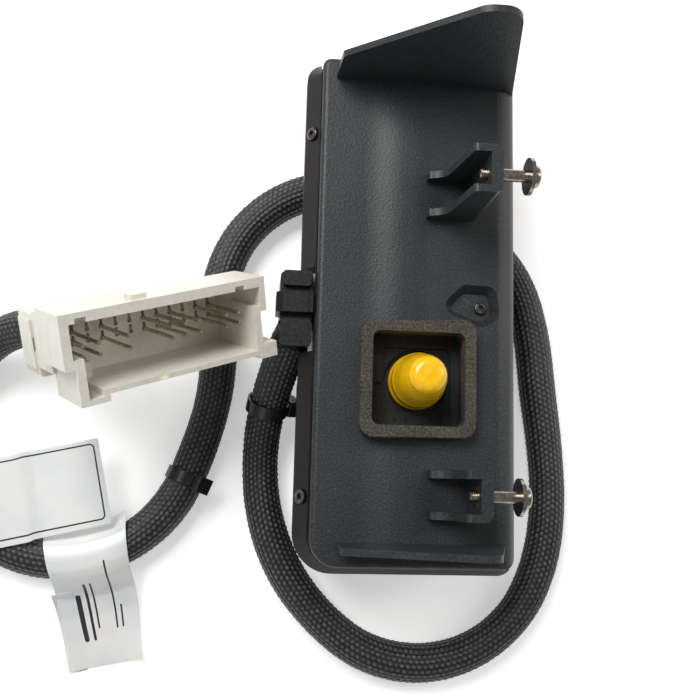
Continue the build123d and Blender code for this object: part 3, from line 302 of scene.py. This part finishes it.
for n, mt in {
    "front_housing": M_HOUSING, "rear_cover": M_COVER, "side_cover_screws": M_TORX, "pocket_screw": M_TORX,
    "glass_gasket": M_FOAM, "lens_shroud": M_SHROUD, "lens_cap": M_CAP, "upper_mount_screw": M_STEEL,
    "upper_washer": M_STEEL, "lower_mount_screw": M_STEEL, "lower_washer": M_STEEL, "harness_plug": M_PLUG,
    "plug_strap": M_PLUG, "harness_sleeve": M_NYLON, "tie_near_plug": M_NYLON, "tie_near_connector": M_NYLON,
    "label_flag_a": M_IVORY, "label_flag_b": M_IVORY, "connector_shell": M_IVORY, "connector_pins": M_PIN,
    "connector_retainer": M_IVORY, "perimeter_seal": M_SILICONE, "threaded_inserts": M_BRASS, "lens_barrel": M_BARREL,
    "lens_front_element": M_GLASS, "lens_rear_element": M_GLASS, "lens_retaining_ring": M_BARREL, "lens_holder": M_CHIP,
    "image_sensor": M_CHIP, "sensor_board": M_BOARD, "sensor_flex": M_CHIP, "main_board": M_BOARD,
    "processor_chip": M_CHIP, "memory_chips": M_CHIP, "capacitors": M_ALU, "board_header": M_CHIP, "header_pins": M_PIN,
    "heat_spreader": M_ALU, "thermal_pad": M_SILICONE, "board_screws": M_STEEL, "plug_seal": M_SILICONE,
    "pressure_vent": M_NYLON}.items():
    paint(n, mt)

for n, w in (("front_housing", 0.45), ("rear_cover", 0.5), ("lens_shroud", 0.2), ("harness_plug", 0.6),
             ("plug_strap", 0.5), ("tie_near_plug", 0.3), ("tie_near_connector", 0.3), ("connector_shell", 0.45),
             ("connector_retainer", 0.4), ("glass_gasket", 0.7), ("upper_washer", 0.15), ("lower_washer", 0.15),
             ("pressure_vent", 0.3)):
    bevel(nodes[n], w)

# ------------------------------------------------------------------ harness sleeve
ROUTE = [
    (-40.2, -10.4, 31.7), (-46.6, -27.8, 17.8), (-49.4, -49.6, 6.75), (-47.3, -70.7, 6.75),
    (-39.7, -90.5, 6.75), (-26.4, -107.2, 6.75), (-9.3, -119.9, 6.75), (11.5, -124.0, 6.75),
    (32.0, -118.8, 6.75), (48.3, -105.4, 6.75), (57.2, -86.2, 6.75), (60.0, -64.9, 6.75),
    (58.8, -43.5, 6.75), (56.0, -22.5, 6.75), (54.1, -1.2, 6.75), (48.8, 18.8, 6.75),
    (35.7, 34.7, 6.75), (17.1, 43.7, 6.75), (-2.9, 50.8, 6.75), (-23.8, 54.0, 6.75),
    (-43.7, 48.1, 6.75), (-59.1, 34.1, 6.75), (-66.9, 14.8, 6.75), (-65.6, -6.9, 6.75),
    (-65.9, -28.2, 6.75), (-71.2, -48.8, 6.75), (-79.1, -68.9, 6.75), (-94.6, -83.4, 6.75),
    (-114.9, -89.4, 6.75), (-135.9, -85.3, 6.75), (-152.6, -71.8, 6.75), (-160.8, -52.0, 6.75),
    (-158.8, -31.3, 6.75), (-148.1, -15.0, 12.6), (-132.1, -7.5, 22.9), (-115.7, -9.6, 34.8),
]
SLEEVE_R = 6.75

cu = bpy.data.curves.new("route", "CURVE")
cu.dimensions = "3D"
sp = cu.splines.new("NURBS")
sp.points.add(len(ROUTE) - 1)
for i, p in enumerate(ROUTE):
    sp.points[i].co = (p[0] / 1000, p[1] / 1000, p[2] / 1000, 1.0)
sp.order_u = 3
sp.use_endpoint_u = True
cu.resolution_u = 24
route_ob = bpy.data.objects.new("route", cu)
scene.collection.objects.link(route_ob)
bpy.context.view_layer.update()
dg = bpy.context.evaluated_depsgraph_get()
route_me = bpy.data.meshes.new_from_object(route_ob.evaluated_get(dg))
PTS = np.array([v.co[:] for v in route_me.vertices])
bpy.data.objects.remove(route_ob)

seg = np.linalg.norm(np.diff(PTS, axis=0), axis=1)
S = np.concatenate([[0], np.cumsum(seg)])
LENGTH = float(S[-1])


def path_at(s):
    return np.stack([np.interp(s, S, PTS[:, k]) for k in range(3)], axis=-1)


STEP = 0.00055
N = int(LENGTH / STEP)
sv = np.linspace(0, LENGTH, N)
C = path_at(sv)
T = np.gradient(path_at(np.clip(sv, 0, LENGTH)), axis=0)
for _ in range(3):
    T[1:-1] = (T[:-2] + T[1:-1] * 2 + T[2:]) / 4
T /= np.linalg.norm(T, axis=1)[:, None]
U = np.zeros_like(T)
u = np.array([0, 0, 1.0])
for i in range(N):
    u = u - T[i] * np.dot(u, T[i])
    u /= np.linalg.norm(u)
    U[i] = u
W = np.cross(T, U)

AROUND = 112
CELLS = 24                      # braid columns round the sleeve
CELL_L = 0.0021                # length of one stitch
phi = np.arange(AROUND) / AROUND * 2 * math.pi
vv = sv[:, None] / CELL_L
uu = np.broadcast_to(phi[None, :] / (2 * math.pi) * CELLS, (N, AROUND))
twist = 0.25 * np.sin(sv[:, None] * 21.0) + 0.15 * np.sin(sv[:, None] * 57.0 + 1.0)
uu2 = uu + twist * 0
col = np.floor(uu2)
fu = uu2 - col
fv_ = vv + 0.5 * (col % 2)
row = np.floor(fv_)
fv = fv_ - row
hgt = (np.sin(math.pi * fu) ** 0.7) * (np.sin(math.pi * fv) ** 0.55)
rr = np.random.default_rng(3)
table = rr.uniform(0.80, 1.0, (2048, CELLS + 1))
amp = table[(row.astype(int)) % 2048, col.astype(int) % CELLS]
hgt = hgt * amp
slow = 1.0 + 0.018 * np.sin(sv * 95.0)[:, None] + 0.016 * np.sin(sv * 41.0 + 2.0)[:, None]
oval = 1.0 + 0.022 * np.cos(2 * phi[None, :] + 1.0 + 6.0 * sv[:, None])
rad = (SLEEVE_R / 1000 - 0.00046) * slow * oval
# cable ties squeeze the sleeve
TIES = []
for tie in ("tie_near_plug", "tie_near_connector"):
    tc = np.mean([nodes[tie].matrix_world @ v.co for v in nodes[tie].data.vertices], axis=0)
    TIES.append(float(sv[int(np.argmin(np.linalg.norm(C - tc, axis=1)))]))
for ts in TIES:
    rad = rad * (1 - 0.055 * np.exp(-((sv - ts) / 0.0035) ** 2)[:, None])
rad = rad + hgt * 0.00058
P3 = C[:, None, :] + rad[:, :, None] * (np.cos(phi)[None, :, None] * U[:, None, :] + np.sin(phi)[None, :, None] * W[:, None, :])
P3[:, :, 2] = np.maximum(P3[:, :, 2], 0.00005)
verts = P3.reshape(-1, 3)
faces = []
idx = np.arange(N * AROUND).reshape(N, AROUND)
a_ = idx[:-1, :]
b_ = np.roll(idx, -1, axis=1)[:-1, :]
c_ = np.roll(idx, -1, axis=1)[1:, :]
d_ = idx[1:, :]
quads = np.stack([a_, b_, c_, d_], axis=-1).reshape(-1, 4)
me = bpy.data.meshes.new("harness_braid")
me.vertices.add(len(verts))
me.vertices.foreach_set("co", verts.ravel())
me.loops.add(quads.size)
me.loops.foreach_set("vertex_index", quads.ravel())
me.polygons.add(len(quads))
me.polygons.foreach_set("loop_start", np.arange(0, quads.size, 4))
me.polygons.foreach_set("loop_total", np.full(len(quads), 4))
me.update(calc_edges=True)
me.polygons.foreach_set("use_smooth", np.ones(len(quads), dtype=bool))
att = me.attributes.new("braid_height", "FLOAT", "POINT")
att.data.foreach_set("value", hgt.ravel().astype(np.float32))
att = me.attributes.new("braid_cell", "FLOAT", "POINT")
att.data.foreach_set("value", np.broadcast_to(amp, hgt.shape).ravel().astype(np.float32))
uvl = me.uv_layers.new(name="UVMap")
uvv = np.stack([np.broadcast_to(phi[None, :] / (2 * math.pi), (N, AROUND)), np.broadcast_to(sv[:, None] / 0.0424, (N, AROUND))], -1).reshape(-1, 2)
uvl.data.foreach_set("uv", uvv[quads.ravel()].ravel())
sleeve = bpy.data.objects.new("harness_braid", me)
scene.collection.objects.link(sleeve)

m, nt, b = new_mat("braid_fabric")
at = nt.nodes.new("ShaderNodeAttribute")
at.attribute_name = "braid_height"
# colour ramp on braid height paints shade in the grooves between stitches and a grey highlight on the raised stitch
# tops
base = ramp(nt, at.outputs["Fac"], [(0.24, (0.0012, 0.0012, 0.0015)), (0.55, (0.016, 0.0165, 0.018)), (0.92, (0.105, 0.110, 0.118))])
fil = nt.nodes.new("ShaderNodeTexCoord")
mp = nt.nodes.new("ShaderNodeMapping")
mp.inputs["Scale"].default_value = (420.0, 30.0, 1.0)
nt.links.new(fil.outputs["UV"], mp.inputs["Vector"])
fn = nt.nodes.new("ShaderNodeTexNoise")
fn.inputs["Scale"].default_value = 1.0
fn.inputs["Detail"].default_value = 2.0
nt.links.new(mp.outputs["Vector"], fn.inputs["Vector"])
base = mix(nt, 1.0, base, ramp(nt, fn.outputs["Fac"], [(0.3, (0.45, 0.45, 0.47)), (0.7, (1.35, 1.35, 1.35))]), "MULTIPLY")
nt.links.new(base, b.inputs["Base Color"])
b.inputs["Roughness"].default_value = 0.42
b.inputs["Specular IOR Level"].default_value = 0.55
b.inputs["Sheen Weight"].default_value = 0.08
nt.links.new(bump(nt, fn.outputs["Fac"], 0.5, 0.00015), b.inputs["Normal"])
M_BRAID = m
me.materials.append(M_BRAID)
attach(sleeve, "unit")
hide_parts("harness_sleeve")


# ------------------------------------------------------------------ film labels
def film_material(name, width, length, border, bars):
    """Blank film with a plain rounded border line and a few plain bars. UV in millimetres."""
    m, nt, b = new_mat(name)
    tc = nt.nodes.new("ShaderNodeTexCoord")
    sep = nt.nodes.new("ShaderNodeSeparateXYZ")
    nt.links.new(tc.outputs["UV"], sep.inputs["Vector"])

    def math_node(op, a, c=None, d=None):
        n = nt.nodes.new("ShaderNodeMath")
        n.operation = op
        for k, val in enumerate((a, c, d)):
            if val is None:
                continue
            if isinstance(val, (int, float)):
                n.inputs[k].default_value = val
            else:
                nt.links.new(val, n.inputs[k])
        return n.outputs[0]

    def rect_distance(cx, cy, hx, hy, r):
        dx = math_node("SUBTRACT", math_node("ABSOLUTE", math_node("SUBTRACT", sep.outputs[0], cx)), hx - r)
        dy = math_node("SUBTRACT", math_node("ABSOLUTE", math_node("SUBTRACT", sep.outputs[1], cy)), hy - r)
        ax = math_node("MAXIMUM", dx, 0.0)
        ay = math_node("MAXIMUM", dy, 0.0)
        ln = math_node("SQRT", math_node("ADD", math_node("MULTIPLY", ax, ax), math_node("MULTIPLY", ay, ay)))
        inner = math_node("MINIMUM", math_node("MAXIMUM", dx, dy), 0.0)
        return math_node("SUBTRACT", math_node("ADD", ln, inner), r)

    ink = None
    if border:
        cx, cy, hx, hy, r, w = border
        d = math_node("ABSOLUTE", rect_distance(cx, cy, hx, hy, r))
        ink = math_node("LESS_THAN", d, w / 2)
    for cx, cy, hx, hy in bars:
        k = math_node("LESS_THAN", rect_distance(cx, cy, hx, hy, min(hx, hy) * 0.9), 0.0)
        ink = k if ink is None else math_node("MAXIMUM", ink, k)
    f = noise(nt, 55.0, 3.0, 0.5)
    paper = ramp(nt, f, [(0.3, (0.70, 0.74, 0.77)), (0.55, (0.80, 0.81, 0.80)), (0.75, (0.84, 0.82, 0.77))])
    if ink is not None:
        paper = mix(nt, ink, paper, (0.02, 0.022, 0.025))
    nt.links.new(paper, b.inputs["Base Color"])
    b.inputs["Roughness"].default_value = 0.30
    b.inputs["Specular IOR Level"].default_value = 0.6
    b.inputs["Coat Weight"].default_value = 0.2
    nt.links.new(bump(nt, noise(nt, 160.0, 3.0), 0.12, 0.0006), b.inputs["Normal"])
    return m


def film(name, rows, material, uv_rows, thickness=0.16):
    """rows: grid of points (mm), uv_rows the same grid in mm on the flat film."""
    n, k = len(rows), len(rows[0])
    verts = [V(*p) for r in rows for p in r]
    faces = [(i * k + j, i * k + j + 1, (i + 1) * k + j + 1, (i + 1) * k + j) for i in range(n - 1) for j in range(k - 1)]
    ob = mesh_object(name, verts, faces)
    uvl = ob.data.uv_layers.new(name="UVMap")
    flat = [p for r in uv_rows for p in r]
    for lp in ob.data.loops:
        uvl.data[lp.index].uv = flat[lp.vertex_index]
    ob.data.materials.append(material)
    sol = ob.modifiers.new("thick", "SOLIDIFY")
    sol.thickness = thickness / 1000
    sol.offset = 0
    sub = ob.modifiers.new("smooth", "SUBSURF")
    sub.levels = 2
    sub.render_levels = 2
    return ob


def polyline_points(pts, count):
    pts = np.array(pts, float)
    d = np.concatenate([[0], np.cumsum(np.linalg.norm(np.diff(pts, axis=0), axis=1))])
    t = np.linspace(0, d[-1], count)
    return np.stack([np.interp(t, d, pts[:, k]) for k in range(pts.shape[1])], -1), t


PATH_MM = C * 1000


def crossing(origin, across, along):
    """Where the line through origin along `along` crosses the sleeve's centre line: distance from origin."""
    rel = PATH_MM[:, :2] - np.array(origin[:2])
    off = np.abs(rel @ np.array(across[:2]))
    near = np.abs(rel @ np.array(along[:2])) < 25
    off = np.where(near, off, 1e9)
    i = int(np.argmin(off))
    return float(rel[i] @ np.array(along[:2]))


# label hanging over the sleeve towards -Y
BX, BZ = np.array([0.2, -0.98, 0]), np.array([-0.98, -0.2, 0])
BX /= np.linalg.norm(BX)
BZ /= np.linalg.norm(BZ)
prof_b = [(-11.0, -3.2), (-9.6, 0.6), (-7.9, 4.0), (-5.0, 6.7), (-0.5, 7.7), (3.5, 7.2), (7.0, 5.2), (10.0, 2.2), (14.0, -1.0),
          (20.0, -3.6), (28.0, -5.2), (38.6, -5.6)]
pb, tb = polyline_points(prof_b, 36)
rows, uvs = [], []
for i, w in enumerate(np.linspace(-13.0, 15.0, 19)):
    o = np.array([-106.0, -86.8, 6.75]) + BZ * w
    x0 = crossing(o, BZ, BX)
    r, q = [], []
    e = (i / 18 - 0.5) * 2
    for (px, pz), t in zip(pb, tb):
        k = 1.0 if px < 4 else max(0.0, 1 - (px - 4) / 22)
        taper = 1.0 - 0.10 * max(0.0, (t - 20) / 35) + 0.02 * math.sin(t * 0.2)
        lift = 0.7 * math.sin(t * 0.16 + 1.2 * e) * max(0.0, min(1.0, (t - 24) / 10)) + (1.3 * max(0, abs(e) - 0.55) ** 1.5 * max(0.0, (t - 26) / 20) * 3)
        pt = np.array([-106.0, -86.8, 6.75]) + BZ * (w * taper) + BX * (px + x0 * k)
        z = 6.75 + pz + lift
        r.append((pt[0], pt[1], max(0.35, z)))
        q.append((w, t))
    rows.append(r)
    uvs.append(q)
M_FILM_B = film_material("film_b", 28, 50, None, [
    (7.6, 41.0, 0.9, 9.0), (4.4, 38.5, 0.5, 11.5), (2.2, 36.5, 0.32, 9.5), (-4.4, 33.0, 0.32, 14.0), (-6.6, 43.0, 0.32, 4.0)])
label_b = film("label_film_b", rows, M_FILM_B, uvs)
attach(label_b, "unit")
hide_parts("label_flag_b")

# second, outer layer of the same label, showing at its left edge
rows, uvs = [], []
for i, w in enumerate(np.linspace(9.0, 16.4, 6)):
    r, q = [], []
    for (px, pz), t in zip(pb[17:], tb[17:]):
        taper = 1.0 - 0.08 * max(0.0, (t - 20) / 35)
        pt = np.array([-106.0, -86.8, 6.75]) + BZ * (w * taper) + BX * (px + 0.6)
        r.append((pt[0], pt[1], max(0.12, 6.75 + pz - 0.75)))
        q.append((w, t))
    rows.append(r)
    uvs.append(q)
M_FILM_C = film_material("film_c", 28, 50, None, [])
label_c = film("label_film_c", rows, M_FILM_C, uvs)
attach(label_c, "unit")
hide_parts("label_flag_b")

# label wrapped round the sleeve further on, its flag lying towards +X
AX, AZ = np.array([0.975, 0.221, 0]), np.array([0.221, -0.975, 0])
AX /= np.linalg.norm(AX)
AZ /= np.linalg.norm(AZ)
prof_a = [(-9.6, -3.0), (-9.0, 1.5), (-7.2, 5.0), (-3.8, 7.4), (0.5, 8.3), (5.0, 8.1), (13.0, 8.3), (20.5, 8.8), (22.5, 8.2), (24.5, 7.0), (34.0, 6.9), (48.6, 7.1)]
pa, ta = polyline_points(prof_a, 40)
rows, uvs = [], []
for i, w in enumerate(np.linspace(-15.3, 15.3, 19)):
    o = np.array([-150.0, -71.0, 6.75]) + AZ * w
    x0 = crossing(o, AZ, AX)
    x0 = max(-9.0, min(6.0, x0))
    r, q = [], []
    e = (i / 18 - 0.5) * 2
    for (px, pz), t in zip(pa, ta):
        k = 1.0 if px < 4 else max(0.0, 1 - (px - 4) / 18)
        fold = 1.0 + 0.035 * e * (1 if px < 22 else 0)
        lift = 0.5 * math.sin(t * 0.13 + e) * max(0.0, min(1.0, (t - 20) / 10))
        pt = np.array([-150.0, -71.0, 6.75]) + AZ * w * fold + AX * (px + x0 * k)
        r.append((pt[0], pt[1], 6.75 + pz + lift))
        q.append((t, -w))
    rows.append(r)
    uvs.append(q)
TA = float(ta[-1])
M_FILM_A = film_material("film_a", 52, 31, (TA - 27.0, 0.2, 25.0, 13.2, 1.6, 0.55), [])
label_a = film("label_film_a", rows, M_FILM_A, uvs)
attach(label_a, "unit")
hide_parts("label_flag_a")


# ------------------------------------------------------------------ clamp screws
def star_radius(theta, r_out, r_in):
    return r_in + (r_out - r_in) * (0.5 + 0.5 * math.cos(6 * theta)) ** 0.8


def clamp_screw(name, y, z, body, node):
    """Shank with a rolled thread, flanged head, star recess. Axis along X."""
    steps, turns_pitch = 48, 0.7
    xs = []
    x = 16.6
    while x < 32.2:
        xs.append(x)
        x += 0.1
    verts, faces = [], []

    def ring(x, rad_fn):
        base = len(verts)
        for k in range(steps):
            t = 2 * math.pi * k / steps
            r = rad_fn(t)
            verts.append(V(x, y + r * math.cos(t), z + r * math.sin(t)))
        return base

    start = ring(16.6, lambda t: 1.2)
    faces.append(tuple(range(start + steps - 1, start - 1, -1)))
    prev = start
    for x in xs:
        if x < 23.4:
            fn = lambda t, x=x: min(1.75 + 0.23 * (0.5 + 0.5 * math.cos(2 * math.pi * (x / turns_pitch - t / (2 * math.pi)))), 1.4 + (x - 16.6) * 1.2)
        else:
            fn = lambda t: 1.98
        cur = ring(x, fn)
        for k in range(steps):
            faces.append((prev + k, prev + (k + 1) % steps, cur + (k + 1) % steps, cur + k))
        prev = cur
    profile = [(33.5, 1.98), (33.5, 4.0), (33.62, 4.1), (34.1, 4.1), (34.25, 3.95), (34.3, 3.7), (35.2, 3.62),
               (35.8, 3.35), (36.15, 2.8), (36.28, 2.2)]
    for px, pr in profile:
        cur = ring(px, lambda t, pr=pr: pr)
        for k in range(steps):
            faces.append((prev + k, prev + (k + 1) % steps, cur + (k + 1) % steps, cur + k))
        prev = cur
    for px, s in ((36.2, 1.0), (34.4, 0.96)):
        cur = ring(px, lambda t, s=s: star_radius(t, 1.95, 1.42) * s)
        for k in range(steps):
            faces.append((prev + k, prev + (k + 1) % steps, cur + (k + 1) % steps, cur + k))
        prev = cur
    faces.append(tuple(range(prev, prev + steps)))
    ob = mesh_object(name, verts, faces)
    bm = bmesh.new()
    bm.from_mesh(ob.data)
    bmesh.ops.recalc_face_normals(bm, faces=bm.faces)
    bm.to_mesh(ob.data)
    bm.free()
    md = ob.modifiers.new("sharp", "EDGE_SPLIT")
    md.split_angle = math.radians(38)
    ob.data.materials.append(M_STEEL)
    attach(ob, body)
    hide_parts(node)
    return ob


clamp_screw("upper_clamp_screw", 39.85, 69.5, "upper_screw_body", "upper_mount_screw")
clamp_screw("lower_clamp_screw", -62.15, 58.5, "lower_screw_body", "lower_mount_screw")

# ------------------------------------------------------------------ floor and light
floor = mesh_object("floor", [(-6, -6, 0), (6, -6, 0), (6, 6, 0), (-6, 6, 0)], [(0, 1, 2, 3)])
m, nt, b = new_mat("floor_paper")
nt.links.new(ramp(nt, noise(nt, 3.0), [(0.3, (0.90, 0.90, 0.90)), (0.7, (0.93, 0.93, 0.93))]), b.inputs["Base Color"])
b.inputs["Roughness"].default_value = 0.9
b.inputs["Specular IOR Level"].default_value = 0.1
b.inputs["Emission Color"].default_value = (1, 1, 1, 1)
b.inputs["Emission Strength"].default_value = 0.42
floor.data.materials.append(m)

world = bpy.data.worlds.new("studio")
scene.world = world
world.use_nodes = True
world.node_tree.nodes["Background"].inputs["Color"].default_value = (1.0, 0.985, 0.97, 1)
world.node_tree.nodes["Background"].inputs["Strength"].default_value = 0.25


def area(name, loc, target, size, power, color=(1, 1, 1)):
    d = bpy.data.lights.new(name, "AREA")
    d.shape = "RECTANGLE"
    d.size, d.size_y = size
    d.energy = power
    d.color = color
    o = bpy.data.objects.new(name, d)
    scene.collection.objects.link(o)
    o.location = loc
    o.rotation_euler = (Vector(target) - Vector(loc)).to_track_quat("-Z", "Y").to_euler()
    return o


area("key", (-0.42, 0.50, 0.90), (0, 0.0, 0.03), (0.7, 0.5), 10.5, (1.0, 0.995, 0.985))
area("right", (0.85, 0.25, 0.55), (0, 0, 0.03), (0.3, 0.8), 2.6, (1.0, 0.96, 0.92))
area("fill", (-0.55, -0.75, 0.75), (0, 0, 0.03), (0.6, 0.5), 0.8, (0.97, 0.98, 1.0))
